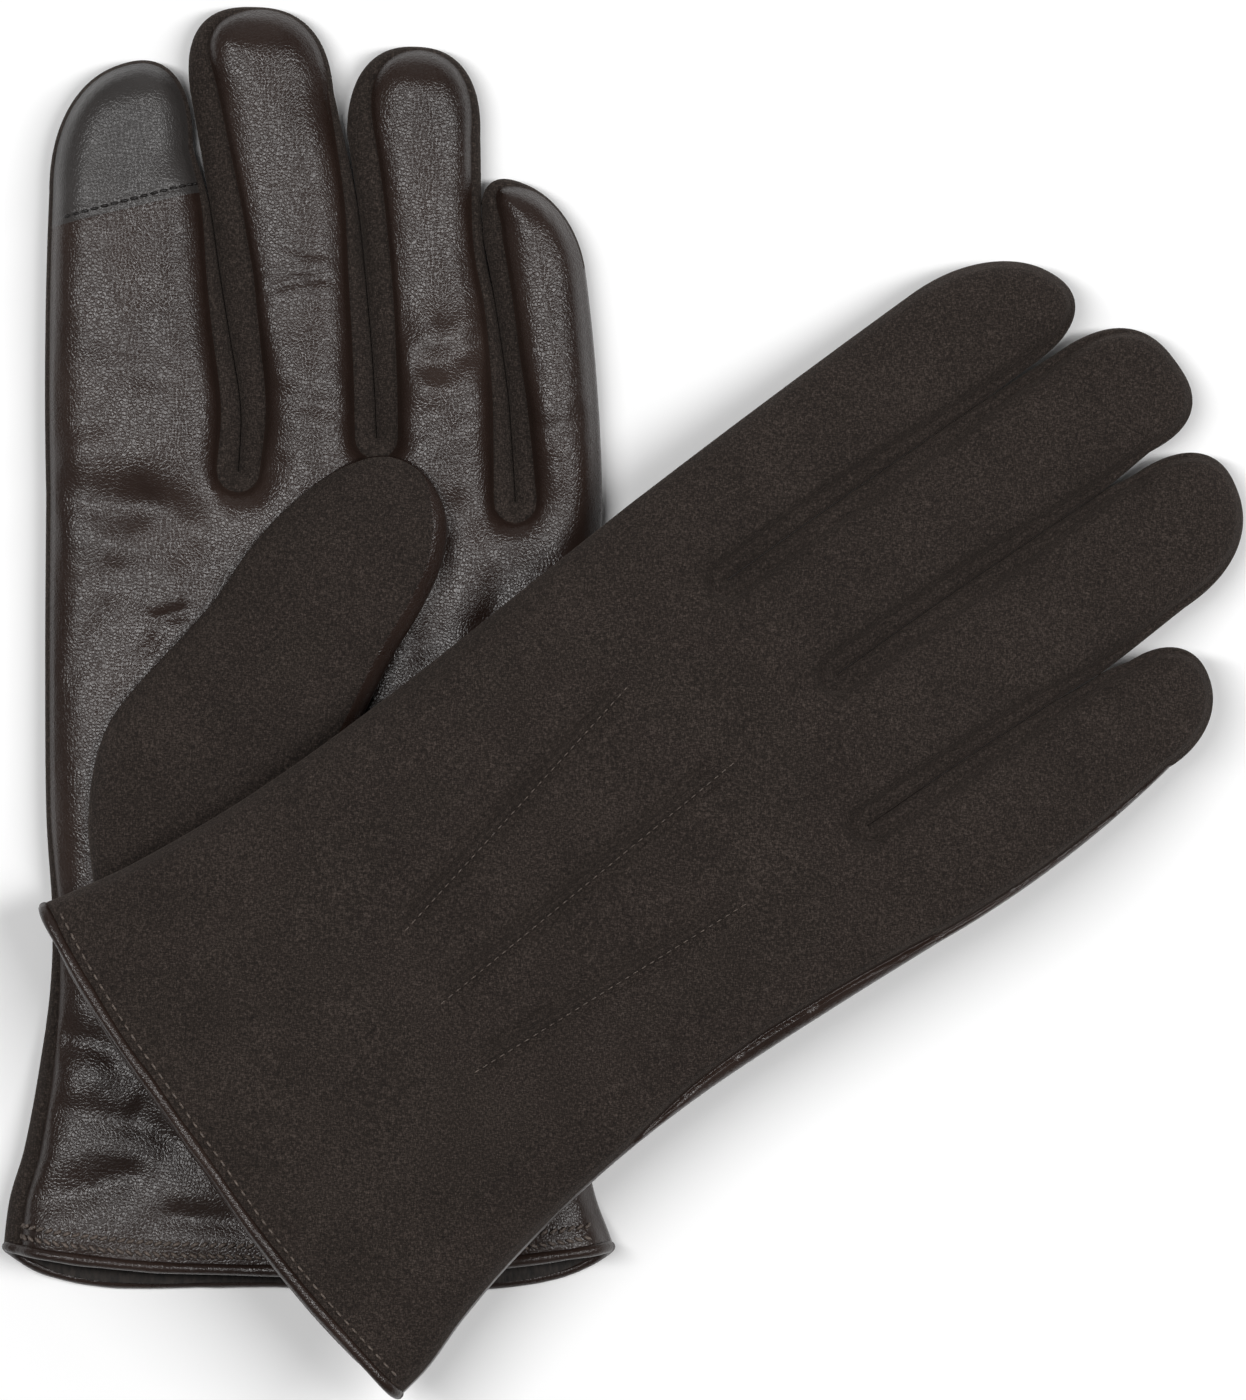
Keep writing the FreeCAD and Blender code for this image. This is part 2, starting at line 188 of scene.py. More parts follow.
WOOL_CREASES = (
    ((-50, 30), (-10, 24), 0.35, 4.0), ((0, 18), (50, 26), 0.3, 4.5), ((-54, 120), (-30, 132), 0.3, 4.0),
    ((20, 128), (46, 120), 0.35, 3.5), ((-56, 178), (-34, 181), 0.18, 2.5),
    ((-28, 188), (-6, 190), 0.18, 2.5), ((0, 184), (24, 187), 0.18, 2.5), ((25, 172), (48, 176), 0.18, 2.5),
)
# The three stitched lines on the back of the right hand, and their shift from there to the left hand
POINTS = (((-28.0, 118.0), (-15.0, 55.0)), ((-4.0, 126.0), (0.5, 52.0)), ((19.5, 112.0), (15.0, 50.0)))
LEFT_POINT_SHIFT = 6.6
TOUCH_SEAM = ((-50.5, 202.2), (-19.5, 209.4))
# What the camera sees: its height, and its middle on the left glove's bench
PICTURE_HEIGHT = 273.0
PICTURE_MIDDLE = (62.0, 109.6)


# ---------------------------------------------------------------- small geometry tools
def unit(v):
    v = np.asarray(v, float)
    return v / np.maximum(np.linalg.norm(v, axis=-1, keepdims=True), 1e-9)


def smoothstep(t):
    t = np.clip(t, 0, 1)
    return t * t * (3 - 2 * t)


def resample(points, step):
    points = np.asarray(points, float)
    along = np.r_[0, np.cumsum(np.linalg.norm(np.diff(points, axis=0), axis=1))]
    at = np.linspace(0, along[-1], max(2, int(round(along[-1] / step)) + 1))
    return np.stack([np.interp(at, along, points[:, i]) for i in range(points.shape[1])], 1)


def smooth_curve(points, step=CURVE_STEP):
    """A Catmull-Rom curve through the points, sampled evenly."""
    p = np.asarray(points, float)
    p = np.vstack([2 * p[0] - p[1], p, 2 * p[-1] - p[-2]])
    t = np.linspace(0, 1, 24, endpoint=False)[:, None]
    parts = []
    for a, b, c, d in zip(p[:-3], p[1:-2], p[2:-1], p[3:]):
        bend = 2 * a - 5 * b + 4 * c - d
        twist = 3 * b - a - 3 * c + d
        parts.append(0.5 * (2 * b + (c - a) * t + bend * t**2 + twist * t**3))
    return resample(np.vstack(parts + [p[-2:-1]]), step)


def beside(slot, shift):
    """The points of a slot's line moved to one side of it."""
    return [(x + shift, y) for x, y in slot]


def bowed(start, end, bow, outwards):
    """A side from start to end that bulges outwards by bow in its middle."""
    start, end = np.array(start, float), np.array(end, float)
    count = max(3, int(np.linalg.norm(end - start) / CURVE_STEP))
    t = np.linspace(0, 1, count)[:, None]
    return start + (end - start) * t + np.asarray(outwards) * bow * 4 * t * (1 - t)


def rounded_cap(left, tip, right, power):
    """The fingertip from its left shoulder over the tip to its right one, as a superellipse."""
    left, tip, right = (np.array(p, float) for p in (left, tip, right))
    middle = (left + right) / 2
    angle = np.linspace(math.pi, 0, 90)[:, None]
    across = np.sign(np.cos(angle)) * np.abs(np.cos(angle)) ** (2 / power)
    along = np.abs(np.sin(angle)) ** (2 / power)
    return resample(middle + (right - left) / 2 * across + (tip - middle) * along, CURVE_STEP)


def nearest(points, line):
    """Distance from each point to a sampled line, and the index of the nearest sample."""
    tree = KDTree(len(line))
    for i, p in enumerate(line):
        tree.insert((p[0], p[1], 0), i)
    tree.balance()
    index = np.array([tree.find((x, y, 0))[1] for x, y in points], int)
    best = np.full(len(points), np.inf)
    for step in (-1, 1):
        other = np.clip(index + step, 0, len(line) - 1)
        a, b = line[index], line[other]
        ab = b - a
        t = np.clip(((points - a) * ab).sum(1) / np.maximum((ab * ab).sum(1), 1e-12), 0, 1)
        best = np.minimum(best, np.linalg.norm(points - a - ab * t[:, None], axis=1))
    return best, index


def to_segment(points, start, end):
    """Distance to a segment, and how far along it, from 0 to 1, the nearest point is."""
    a, b = np.array(start, float), np.array(end, float)
    t = np.clip((points - a) @ (b - a) / ((b - a) @ (b - a)), 0, 1)
    return np.linalg.norm(points - a - t[:, None] * (b - a), axis=1), t


def inside(points, polygon):
    result = np.zeros(len(points), bool)
    x, y = points[:, 0], points[:, 1]
    for (x0, y0), (x1, y1) in zip(polygon, np.roll(polygon, -1, axis=0)):
        if y0 != y1:
            crosses = (y0 > y) != (y1 > y)
            result ^= crosses & (x < (x1 - x0) * (y - y0) / (y1 - y0) + x0)
    return result


def noise(points, scale, seed):
    """Smooth value noise from -1 to 1 with features of the given size, repeating after 97 of them."""
    period = 97
    lattice = np.random.default_rng(seed).uniform(-1, 1, (period, period))
    p = np.asarray(points, float) / scale + 40
    i = np.floor(p).astype(int)
    f = smoothstep(p - i)
    x0, y0 = i[:, 0] % period, i[:, 1] % period
    x1, y1 = (x0 + 1) % period, (y0 + 1) % period
    low = lattice[x0, y0] * (1 - f[:, 0]) + lattice[x1, y0] * f[:, 0]
    high = lattice[x0, y1] * (1 - f[:, 0]) + lattice[x1, y1] * f[:, 0]
    return low * (1 - f[:, 1]) + high * f[:, 1]


def creased(points, creases):
    """Depth pressed in by a list of creases, each fading out towards its ends and wandering a little."""
    depth = np.zeros(len(points))
    wander = points + np.stack([noise(points, 7, 11), noise(points, 7, 12)], 1) * 0.9
    for start, end, deep, width in creases:
        distance, along = to_segment(wander, start, end)
        fade = smoothstep(np.minimum(along, 1 - along) * 4 + 0.15)
        swelling_beside = 0.35 * np.exp(-(((distance - 2.2 * width) / width) ** 2))
        depth += deep * fade * (np.exp(-((distance / width) ** 2)) - swelling_beside)
    return depth


# ---------------------------------------------------------------- the flat outline and its seams
class Outline:
    """The side line of a glove from the cuff's index corner round the fingers to its little corner.

    palm_inset and back_inset say how far inside the line each sheet's seam runs. kind names what lies
    outside the seam: "index" and "tip" are wool, "slot" is gusset, "little" is leather. bases holds, for
    each finger, the numbers of its first and last point.
    """

    def __init__(self, glove):
        self.points, self.kind, self.palm_inset, self.back_inset = [], [], [], []
        self.bases = {}
        corner = glove.cuff_corner
        index_edge = smooth_curve(glove.index_edge)
        self.add_edge(index_edge[index_edge[:, 1] > corner], "index")
        for number, finger in enumerate(glove.fingers):
            self.add_finger(glove, number, finger)
        little_edge = smooth_curve(glove.little_edge)[::-1]
        self.add_edge(little_edge[little_edge[:, 1] > corner], "little")
        self.points = np.array(self.points)
        self.palm_inset = np.maximum(self.palm_inset, SMALLEST_INSET)
        self.back_inset = np.maximum(self.back_inset, SMALLEST_INSET)
        self.inward = inward_of(np.gradient(self.points, axis=0))

    def add(self, points, kind, palm_inset, back_inset):
        self.points += [tuple(p) for p in points]
        self.kind += [kind] * len(points)
        self.palm_inset += list(palm_inset)
        self.back_inset += list(back_inset)

    def add_edge(self, points, kind):
        insets = []
        for seams in (PALM_SEAMS, BACK_SEAMS):
            at, inset = zip(*seams[f"{kind}_edge"])
            insets.append(np.interp(points[:, 1], at, inset))
        self.add(points, kind, *insets)

    def add_finger(self, glove, number, finger):
        """Its left side, cap and right side, then the round bottom of the slot that follows it."""
        first, last = number == 0, number == len(glove.fingers) - 1
        if first:
            left = bowed(glove.index_edge[-1], finger.left_shoulder, finger.bow_left, (-1, 0))
        else:
            left = smooth_curve(beside(glove.slots[number - 1], SLOT / 2) + [finger.left_shoulder])
        if last:
            right = bowed(finger.right_shoulder, glove.little_edge[-1], finger.bow_right, (1, 0))
        else:
            right = smooth_curve(beside(glove.slots[number], -SLOT / 2) + [finger.right_shoulder])[::-1]
        cap = rounded_cap(finger.left_shoulder, finger.tip, finger.right_shoulder, finger.cap)
        sides = (left, cap, right)
        kinds = ("index" if first else "slot", "tip", "little" if last else "slot")
        keys = ((0, 1, 2), (2, 3, 4), (4, 5, 6))
        begin = len(self.points)
        for points, kind, key in zip(sides, kinds, keys):
            points = points if kind != "tip" else points[1:-1]
            t = np.linspace(0, 2, len(points))
            self.add(points, kind, *(np.interp(t, (0, 1, 2), [seams[finger.name][k] for k in key])
                                     for seams in (PALM_SEAMS, BACK_SEAMS)))
        self.bases[finger.name] = (begin, len(self.points) - 1)
        if not last:
            crotch = np.array(glove.slots[number][0])
            angle = np.linspace(0, math.pi, 9)[1:-1]
            arc = crotch - SLOT / 2 * np.stack([np.cos(angle), np.sin(angle)], 1)
            after = glove.fingers[number + 1].name
            bottom = [(seams[finger.name][6] + seams[after][0]) / 2 for seams in (PALM_SEAMS, BACK_SEAMS)]
            self.add(arc, "slot", [bottom[0]] * len(arc), [bottom[1]] * len(arc))


def smoothed(values, times):
    for _ in range(times):
        values = np.r_[values[:1], (values[:-2] + 2 * values[1:-1] + values[2:]) / 4, values[-1:]]
    return values


def seam_line(outline, inset):
    """The seam of one sheet: the outline moved inwards, run on past the cuff at both ends."""
    inset = smoothed(np.asarray(inset), 8)
    line = outline.points + outline.inward * inset[:, None]
    return np.vstack([line[0] - (0, 14), line, line[-1] - (0, 14)])


def cuff_line(glove, palm, outline):
    """The edge of one sheet at the mouth, from the index corner to the little corner."""
    low, power = glove.palm_cuff if palm else glove.back_cuff
    a, b = outline.points[0], outline.points[-1]
    t = np.linspace(-1, 1, int((b[0] - a[0]) / CURVE_STEP))
    x = (a[0] + b[0]) / 2 + t * (b[0] - a[0]) / 2
    y = low + (glove.cuff_corner - low) * np.abs(t) ** power
    y += noise(np.stack([x, x * 0 + 7 * palm], 1), 16, 5) * 0.35 * (1 - t**2)
    y[0], y[-1] = a[1], b[1]
    return np.stack([x, y], 1)


# ---------------------------------------------------------------- sheets
Sheet = namedtuple("Sheet", "points z triangles in_panel owner kind")


def hex_grid(low, high, step):
    rows = np.arange(low[1], high[1], step * math.sqrt(3) / 2)
    grid = []
    for number, y in enumerate(rows):
        x = np.arange(low[0] + (number % 2) * step / 2, high[0], step)
        grid.append(np.stack([x, np.full(len(x), y)], 1))
    return np.vstack(grid)


def far_from(points, others, gap):
    return points[nearest(points, others)[0] > gap] if len(points) else points


def inward_of(steps):
    """The direction to the right of a line's steps, which is into a glove from its outline."""
    along = unit(steps)
    return np.stack([along[:, 1], -along[:, 0]], 1)


class Pattern:
    """An outline with lines drawn on it, to be filled with triangles that keep to those lines."""

    def __init__(self, ring, border):
        self.ring, self.border = ring, border
        self.points, self.edges, self.total = [ring], [(i, i + 1) for i in range(len(ring) - 1)], len(ring)

    def add_line(self, points, first=None, last=None):
        """A line, which may start and end at points of the outline that are given by number."""
        numbers = list(range(self.total, self.total + len(points)))
        self.points.append(points)
        self.total += len(points)
        chain = ([] if first is None else [first]) + numbers + ([] if last is None else [last])
        self.edges += zip(chain[:-1], chain[1:])

    def triangles(self, fill):
        """Points and anticlockwise triangles inside the border. The outline's points keep their numbers."""
        count = len(self.ring)
        flat = [Vector(p) for p in np.vstack(self.points + [fill])]
        out, _, faces, origins, _, _ = delaunay_2d_cdt(flat, self.edges, [], 0, 1e-6, True)
        order = np.full(len(out), -1)
        for number, origin in enumerate(origins):
            ring_numbers = [o for o in origin if o < count]
            if ring_numbers:
                order[number] = ring_numbers[0]
        rest = np.flatnonzero(order < 0)
        order[rest] = count + np.arange(len(rest))
        points = np.zeros((order.max() + 1, 2))
        points[order] = [tuple(p) for p in out]
        points[:count] = self.ring
        triangles = order[np.array([f for f in faces if len(f) == 3], int)]
        triangles = triangles[inside(points[triangles].mean(1), self.border)]
        a, b, c = (points[triangles[:, i]] for i in range(3))
        clockwise = (b[:, 0] - a[:, 0]) * (c[:, 1] - a[:, 1]) < (b[:, 1] - a[:, 1]) * (c[:, 0] - a[:, 0])
        triangles[clockwise] = triangles[clockwise][:, ::-1]
        return points, triangles


def sheet_points(ring, inward, panel, lines, step):
    """Points inside a sheet: layers along the outline, rows along the seam and the lines, then a grid."""
    fill = []
    for depth in LAYERS:
        layer = ring + inward * depth
        if depth > LAYERS[1]:
            layer = layer[:: 2 if step > FINE_STEP else 1]
        layer = far_from(layer, ring, depth * 0.9)
        fill.append(far_from(layer, panel, 0.3))
    across = inward_of(np.gradient(panel, axis=0))
    rows = [far_from(panel + across * shift, panel, abs(shift) * 0.9) for shift in (-1.2, -0.5, 0.5, 1.2)]
    grid = hex_grid(ring.min(0) - 8, ring.max(0) + 1, step)
    grid = far_from(grid, ring, LAYERS[-1] + step * 0.5)
    grid = far_from(grid, panel, 1.2 + step * 0.4)
    for line in lines:
        grid = far_from(grid, line, step * 0.5)
    rows = [far_from(row, ring, 0.4) for row in rows + lines]
    return np.vstack(fill + rows + [grid])


def cut_sheet(outline, glove, palm, step, height, extra_lines=()):
    """Cuts one sheet. Its first points are the outline's, in their order, so that two sheets share them."""
    ring = outline.points
    cuff = cuff_line(glove, palm, outline)
    panel = seam_line(outline, outline.palm_inset if palm else outline.back_inset)
    silhouette = np.vstack([ring, cuff[::-1][1:-1]])
    cuts = [resample(ring[list(outline.bases[f.name])], 1.0)[1:-1] for f in glove.fingers]
    fill = sheet_points(ring, outline.inward, panel, list(extra_lines), step)
    fill = fill[inside(fill, silhouette)]
    for cut in cuts:
        fill = far_from(fill, cut, 0.35)
    fill = far_from(fill, cuff, 0.5)
    pattern = Pattern(ring, silhouette)
    pattern.add_line(cuff[::-1][1:-1], len(ring) - 1, 0)
    pattern.add_line(panel)
    for finger, cut in zip(glove.fingers, cuts):
        pattern.add_line(cut, *outline.bases[finger.name])
    for line in extra_lines:
        pattern.add_line(line)
    points, triangles = pattern.triangles(fill)
    centre = points[triangles].mean(1)
    owner = np.full(len(triangles), "palm", dtype="U8")
    for finger in glove.fingers:
        first, last = outline.bases[finger.name]
        owner[inside(centre, ring[first:last + 1])] = finger.name
    kind = np.array(outline.kind)[nearest(centre, ring)[1]]
    return Sheet(points, height(points, outline, panel, palm), triangles, inside(centre, panel), owner, kind)


def joined(palm, back, palm_up, ring_count):
    """Both sheets as one surface: vertices, and outward triangles of the palm and then of the back."""
    shift = len(palm.points) - ring_count
    back_numbers = np.where(back.triangles < ring_count, back.triangles, back.triangles + shift)
    vertices = np.vstack([np.c_[palm.points, palm.z], np.c_[back.points[ring_count:], back.z[ring_count:]]])
    palm_triangles = palm.triangles if palm_up else palm.triangles[:, ::-1]
    back_triangles = back_numbers[:, ::-1] if palm_up else back_numbers
    return vertices, np.vstack([palm_triangles, back_triangles])


def vertex_normals(vertices, triangles):
    a, b, c = (vertices[triangles[:, i]] for i in range(3))
    face = np.cross(b - a, c - a)
    normals = np.zeros_like(vertices)
    for i in range(3):
        np.add.at(normals, triangles[:, i], face)
    return unit(normals)


def shell(vertices, normals, triangles, thickness):
    """A closed wall made of some of a surface's triangles. Gives points, faces and normals."""
    used, compact = np.unique(triangles, return_inverse=True)
    outer = compact.reshape(-1, 3)
    count = len(used)
    sides = np.vstack([outer[:, [0, 1]], outer[:, [1, 2]], outer[:, [2, 0]]])
    key = np.sort(sides, axis=1)
    _, first, times = np.unique(key, axis=0, return_index=True, return_counts=True)
    border = sides[first[times == 1]]
    inner = outer[:, ::-1] + count
    rim_a = np.stack([border[:, 1], border[:, 0], border[:, 0] + count], 1)
    rim_b = np.stack([border[:, 1], border[:, 0] + count, border[:, 1] + count], 1)
    points = np.vstack([vertices[used], vertices[used] - normals[used] * thickness])
    return points, np.vstack([outer, inner, rim_a, rim_b]), np.vstack([normals[used], -normals[used]])


# ---------------------------------------------------------------- heights above the table
# Height of the right glove's side line at each distance from its cuff
RIGHT_MIDDLE = ((-10, 27.0), (0, 27.3), (40, 28.2), (125, 28.3), (145, 27.6), (160, 25.4), (180, 20.6),
                (200, 15.4), (220, 10.6), (235, 7.2), (244, 5.8))
LEFT_MIDDLE = 5.0
# How far each sheet rises or drops from the side line, before its dome and its panels' relief
LEFT_PALM_RISE, LEFT_BACK_DROP = 4.5, 4.3
RIGHT_BACK_RISE, RIGHT_PALM_DROP = 4.2, 4.6
FLOOR_GAP = 0.25
# The height about which the right thumb mirrors the left one
PALM_TOP = 34.0


def roundness(depth, radius=EDGE_RADIUS):
    """How much of its full height a sheet has at this distance from the outline: a quarter of a circle."""
    t = np.clip(depth / radius, 0, 1)
    return np.sqrt(1 - (1 - t) ** 2)


def seam_relief(depth, valley, width, swell):
    """The valley of a seam, and the panel swelling up from it. depth is positive inside the panel."""
    welt = WELT * np.exp(-(((depth - 0.6) / 0.4) ** 2))
    return swell * roundness(depth, PANEL_RADIUS) + welt - valley * np.exp(-((depth / width) ** 2))


def leather_relief(points):
    rolling = 1.0 * noise(points, 24, 1) + 0.34 * noise(points, 11, 2) + 0.04 * noise(points, 4.5, 3)
    cuff = smoothstep((58 - points[:, 1]) / 30)
    folds = np.sin((points[:, 1] + 2.2 * noise(points * (0.5, 1), 11, 4)) * 2 * math.pi / 12.5)
    folds *= 0.2 * (0.5 + 0.5 * noise(points, 17, 6))
    return rolling + cuff * folds - 0.7 * creased(points, LEATHER_CREASES)


def wool_relief(points):
    return 0.4 * noise(points, 32, 7) + 0.1 * noise(points, 12, 8) - creased(points, WOOL_CREASES)


def point_relief(points, shift):
    """The three raised lines on the back, each between two shallow valleys."""
    raised = np.zeros(len(points))
    for start, end in POINTS:
        distance, along = to_segment(points, np.add(start, (shift, 0)), np.add(end, (shift, 0)))
        fade = smoothstep(np.minimum(along, 1 - along) * 12)
        valleys = 1.1 * np.exp(-(((distance - 1.7) / 0.75) ** 2))
        raised += fade * (1.3 * np.exp(-((distance / 0.7) ** 2)) - valleys)
    return raised


def touch_relief(points):
    """The grey tip lies over the finger's leather, so there is a small step down past its seam."""
    (x0, y0), (x1, y1) = TOUCH_SEAM
    above = points[:, 1] - (y0 + (points[:, 0] - x0) * (y1 - y0) / (x1 - x0))
    near = points[:, 0] < x1 + 2
    step = 0.32 * smoothstep((above + 0.4) / 0.8) * smoothstep((12 - above) / 10)
    return near * (step - 0.3 * np.exp(-(((above - 1.7) / 0.6) ** 2)))


def depths(points, outline, panel):
    """Distance from the outline, and from the panel's seam, which counts as negative outside the panel."""
    seam, _ = nearest(points, panel)
    return nearest(points, outline.points)[0], np.where(inside(points, panel), seam, -seam)


def left_height(points, outline, panel, palm):
    depth, seam = depths(points, outline, panel)
    inner = smoothstep(depth / 3)
    if palm:
        relief = leather_relief(points) * smoothstep((seam + 0.3) / 2.5)
        swell = 2.0 + 1.2 * smoothstep((points[:, 1] - 138) / 25)
        relief += seam_relief(seam, 0.8, 0.65, swell) + touch_relief(points)
        dome = 0.6 * smoothstep(depth / 14)
        return LEFT_MIDDLE + LEFT_PALM_RISE * roundness(depth) + inner * (dome + relief)
    relief = seam_relief(seam, 0.5, 0.8, 0.3) + point_relief(points, LEFT_POINT_SHIFT)
    return LEFT_MIDDLE - LEFT_BACK_DROP * roundness(depth) - inner * np.minimum(relief, 0.4)


def right_middle(points):
    """Height of the right glove's side line, which droops towards the corners of its cuff."""
    x, y = points[:, 0], points[:, 1]
    droop = 3.0 * smoothstep((np.abs(x) - 22) / 42) * (1 - smoothstep(y / 70))
    return np.interp(y, *zip(*RIGHT_MIDDLE)) - droop + 0.5 * noise(points, 40, 9)


def right_height(points, outline, panel, palm):
    depth, seam = depths(points, outline, panel)
    middle = right_middle(points)
    in_panel = smoothstep((seam + 0.3) / 2.5)
    if palm:
        relief = seam_relief(seam, 0.9, 0.85, 0.8) + leather_relief(points) * in_panel
        low = middle - RIGHT_PALM_DROP * roundness(depth) - 0.7 * smoothstep(depth / 3) * relief
        return np.maximum(low, FLOOR_GAP + (middle - FLOOR_GAP) * (1 - roundness(depth)))
    relief = seam_relief(seam, 1.7, 0.6, 1.0) + wool_relief(points) * in_panel
    relief += point_relief(points, 0) - 0.6 * smoothstep((0.4 - seam) / 0.8)
    dome = 1.2 * smoothstep(depth / 16)
    return middle + RIGHT_BACK_RISE * roundness(depth, 6.0) + smoothstep(depth / 2) * (dome + relief)


# ---------------------------------------------------------------- from the bench to the table
def turned(points, angle):
    c, s = math.cos(angle), math.sin(angle)
    return np.stack([points[:, 0] * c - points[:, 1] * s, points[:, 0] * s + points[:, 1] * c], 1)


def cuff_box(side):
    low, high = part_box(f"{side}_cuff_binding")
    return np.array(low) / MM, np.array(high) / MM


def place(side):
    """A function that carries bench points (x, y, world z) to the row frame, all in millimetres."""
    low, high = cuff_box(side)
    if side == "left":
        angle, origin = 0.0, np.array(((low[0] + high[0]) / 2 - 0.4, low[1]))
    else:
        angle = RIGHT_TURN
        origin = (low[:2] + high[:2]) / 2 - turned(np.array([[0.4, 2.0]]), angle)[0]

    def carry(points):
        return np.c_[turned(points[:, :2], angle) + origin, points[:, 2]]
    return carry


# ---------------------------------------------------------------- making pieces
MATERIALS = {}
THICKNESS = {"leather": LEATHER, "touch": LEATHER, "wool": WOOL, "lining": LINING}


def make_piece(name, points, faces, normals, material):
    """A mesh object from points in millimetres in the row frame."""
    mesh = bpy.data.meshes.new(name)
    mesh.from_pydata((np.asarray(points) * MM).tolist(), [], [tuple(map(int, face)) for face in faces])
    mesh.polygons.foreach_set("use_smooth", [True] * len(mesh.polygons))
    mesh.materials.append(MATERIALS[material])
    if normals is not None:
        mesh.normals_split_custom_set_from_vertices(normals.tolist())
    piece = bpy.data.objects.new(name, mesh)
    bpy.context.scene.collection.objects.link(piece)
    return piece


def bend_line(side, finger):
    """Where a finger's cloth starts and stops turning with its joint, in the row frame in metres."""
    joint = JOINTS[f"{side}_{finger}_open" if finger == "thumb" else f"{side}_{finger}_curl"]
    hinge, axis = Vector(joint["pos_m"]), Vector(joint["axis"])
    along = axis.cross(Vector((0, 0, 1))) if side == "right" else Vector((0, 0, 1)).cross(axis)
    along.normalize()
    return hinge - along * BEND_BEFORE * MM, hinge + along * BEND_AFTER * MM


def add_wall(side, node, body, vertices, triangles, which, material):
    """One cloth piece: a closed wall made of some of a surface's triangles."""
    normals = vertex_normals(vertices, triangles)
    wall = shell(vertices, normals, triangles[which], THICKNESS[material])
    attach(make_piece(f"{side}_{node}", *wall, material), side, body, node)


def attach(piece, side, owner, node, rigid=False):
    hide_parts(f"{side}_{node}")
    if owner == "palm":
        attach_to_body(piece, f"{side}_palm")
    elif rigid:
        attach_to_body(piece, f"{side}_{owner}")
    else:
        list(bend_line(side, owner))
        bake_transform(piece)


def glove_pieces(glove, height):
    """Every leather, wool and gusset piece of one glove."""
    outline = Outline(glove)
    side, count = glove.side, len(outline.points)
    palm_step, back_step = (FINE_STEP, COARSE_STEP) if side == "left" else (COARSE_STEP, FINE_STEP)
    palm_lines, back_lines = [], []
    shift = LEFT_POINT_SHIFT if side == "left" else 0
    for start, end in POINTS:
        line = resample(np.add((start, end), (shift, 0)), 0.8)
        across = unit(np.array([line[-1][1] - line[0][1], line[0][0] - line[-1][0]]))
        back_lines += [line + across * offset for offset in (-1.7, -1.1, -0.5, 0.0, 0.5, 1.1, 1.7)]
    ends = [outline.points[i] + outline.inward[i] * 0.12
            for i in nearest(np.array(TOUCH_SEAM, float), outline.points)[1]]
    palm_lines.append(resample(np.array(ends), 0.8))
    palm = cut_sheet(outline, glove, True, palm_step, height, palm_lines)
    back = cut_sheet(outline, glove, False, back_step, height, back_lines)
    vertices, triangles = joined(palm, back, side == "left", count)
    vertices = place(side)(vertices)
    is_palm = np.r_[np.ones(len(palm.triangles), bool), np.zeros(len(back.triangles), bool)]
    in_panel = np.r_[palm.in_panel, back.in_panel]
    owner = np.r_[palm.owner, back.owner]
    kind = np.r_[palm.kind, back.kind]
    centre = np.vstack([palm.points[palm.triangles].mean(1), back.points[back.triangles].mean(1)])
    leather = (is_palm & in_panel) | (~in_panel & (kind == "little"))
    gusset = ~in_panel & (kind == "slot")
    wool = ~leather & ~gusset
    (x0, y0), (x1, y1) = ends
    past_seam = centre[:, 1] > y0 + (centre[:, 0] - x0) * (y1 - y0) / (x1 - x0)
    touch = leather & (owner == "index") & past_seam

    def add(node, body, which, material):
        add_wall(side, node, body, vertices, triangles, which, material)

    add("palm_leather", "palm", leather & (owner == "palm"), "leather")
    add("back_wool", "palm", wool & (owner == "palm"), "wool")
    add("crotch_gussets", "palm", gusset & (owner == "palm"), "wool")
    add("index_touch_tip", "index", touch, "touch")
    for finger in glove.fingers:
        name, mine = finger.name, owner == finger.name
        gussets = "gussets" if name in ("middle", "ring") else "gusset"
        add(f"{name}_leather", name, leather & mine & ~touch, "leather")
        add(f"{name}_wool", name, wool & mine, "wool")
        add(f"{name}_{gussets}", name, gusset & mine, "wool")
    return outline


def lining_pieces(glove, height, outline):
    """The knitted lining: a bag of its own inside the glove, cut at the same lines."""
    side = glove.side
    inner = Outline(glove)
    inner.palm_inset[:] = 1.0
    inner.back_inset[:] = 1.0

    def lining_height(points, _, panel, palm):
        depth, _ = nearest(points, inner.points)
        shrink = 1.6 + 1.2 * roundness(depth, 10)
        inset = outline.palm_inset if palm else outline.back_inset
        full = height(points, outline, seam_line(outline, inset), palm)
        middle = np.full(len(points), LEFT_MIDDLE) if side == "left" else right_middle(points)
        rise = np.abs(full - middle)
        return middle + np.sign(full - middle) * np.maximum(rise - shrink, 0.35 * rise)

    inner.points = outline.points + outline.inward * 1.7
    palm = cut_sheet(inner, glove, True, LINING_STEP, lining_height)
    back = cut_sheet(inner, glove, False, LINING_STEP, lining_height)
    vertices, triangles = joined(palm, back, side == "left", len(inner.points))
    vertices = place(side)(vertices)
    owner = np.r_[palm.owner, back.owner]
    for body in ("palm",) + tuple(f.name for f in glove.fingers):
        add_wall(side, f"{body}_lining", body, vertices, triangles, owner == body, "lining")


